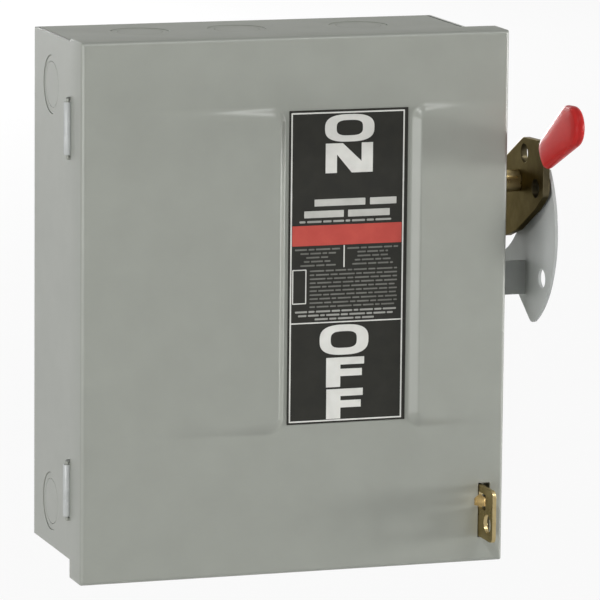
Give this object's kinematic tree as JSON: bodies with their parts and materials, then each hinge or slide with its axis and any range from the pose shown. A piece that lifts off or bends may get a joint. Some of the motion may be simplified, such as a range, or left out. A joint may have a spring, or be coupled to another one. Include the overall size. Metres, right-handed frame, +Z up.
{
  "type": "safety switch box",
  "caption": "Wall-mounted sheet-metal safety switch with a hinged cover, side lever with red grip, knife blades, fuses, padlock bracket and a padlock hasp.",
  "frame": {"origin": "on the wall plane, at the centre of the four wall screw holes in the back of the box", "axes": "+X to the lever's side, +Y into the wall, +Z up; the cover faces -Y"},
  "size_m": [0.2437, 0.1361, 0.264],
  "materials": {
    "grey_paint": "semi-gloss light grey enamel",
    "yellow_plating": "yellow chromate plating",
    "red_vinyl": "dipped red vinyl",
    "label": "printed label",
    "moulded_black": "moulded thermoset",
    "fibre": "pressed fibre sheet",
    "red_moulding": "moulded thermoset",
    "copper": "bare copper",
    "fuse_tube": "wound paper tube",
    "tin_plate": "tin plated",
    "zinc_steel": "bright zinc plating",
    "green_screw": "green dyed zinc"
  },
  "bodies": {
    "enclosure": {"back_box": "grey_paint", "top_end_panel": "grey_paint", "bottom_end_panel": "grey_paint", "knockout_discs": "grey_paint", "knockout_rings": "grey_paint", "hinge_staples": "grey_paint", "padlock_bracket": "grey_paint", "padlock_bracket_rivets": "grey_paint", "hasp": "yellow_plating", "hasp_rivets": "yellow_plating", "shaft_bushing": "moulded_black", "switch_base": "moulded_black", "neutral_insulator": "moulded_black", "phase_barriers": "fibre", "line_jaws": "copper", "blade_clips": "copper", "fuse_clips": "copper", "fuse_ferrules": "copper", "fuse_tubes": "fuse_tube", "line_lugs": "tin_plate", "load_lugs": "tin_plate", "neutral_bar": "tin_plate", "ground_bar": "tin_plate", "quick_break_spring": "zinc_steel", "mechanism_bracket": "zinc_steel", "mechanism_screws": "zinc_steel", "base_screws": "zinc_steel", "line_lug_screws": "zinc_steel", "blade_pivots": "zinc_steel", "load_lug_screws": "zinc_steel", "neutral_mounting_screws": "zinc_steel", "neutral_screws": "zinc_steel", "ground_screws": "green_screw"},
    "cover": {"cover": "grey_paint", "label_plate": "label"},
    "handle": {"lever": "yellow_plating", "grip": "red_vinyl", "operating_shaft": "yellow_plating", "shaft_collar": "yellow_plating", "crank": "zinc_steel", "crank_pin": "zinc_steel"},
    "blade_set": {"crossbar": "red_moulding", "contact_blades": "copper", "blade_rivets": "zinc_steel", "drive_fork": "zinc_steel"},
    "catch": {"spring_catch": "yellow_plating"}
  },
  "joints": [
    {"name": "cover_swing", "type": "hinge", "parent": "enclosure", "child": "cover", "pos_m": [-0.10535, -0.0676, 0], "axis": [0, 0, -1], "range_deg": [0, 120]},
    {"name": "handle_throw", "type": "hinge", "parent": "enclosure", "child": "handle", "pos_m": [0, -0.0569, 0.05], "axis": [1, 0, 0], "range_deg": [0, 102]},
    {"name": "blade_swing", "type": "hinge", "parent": "enclosure", "child": "blade_set", "pos_m": [0, -0.04276, 0.03586], "axis": [1, 0, 0], "range_deg": [0, 51]},
    {"name": "catch_press", "type": "hinge", "parent": "enclosure", "child": "catch", "pos_m": [0.10065, -0.0975, 0], "axis": [0, 0, -1], "range_deg": [0, 22], "stiffness_Nm_per_rad": 0.02}
  ],
  "couplings": [
    {"joint": "blade_swing", "follows": "handle_throw", "ratio": 0.5}
  ]
}
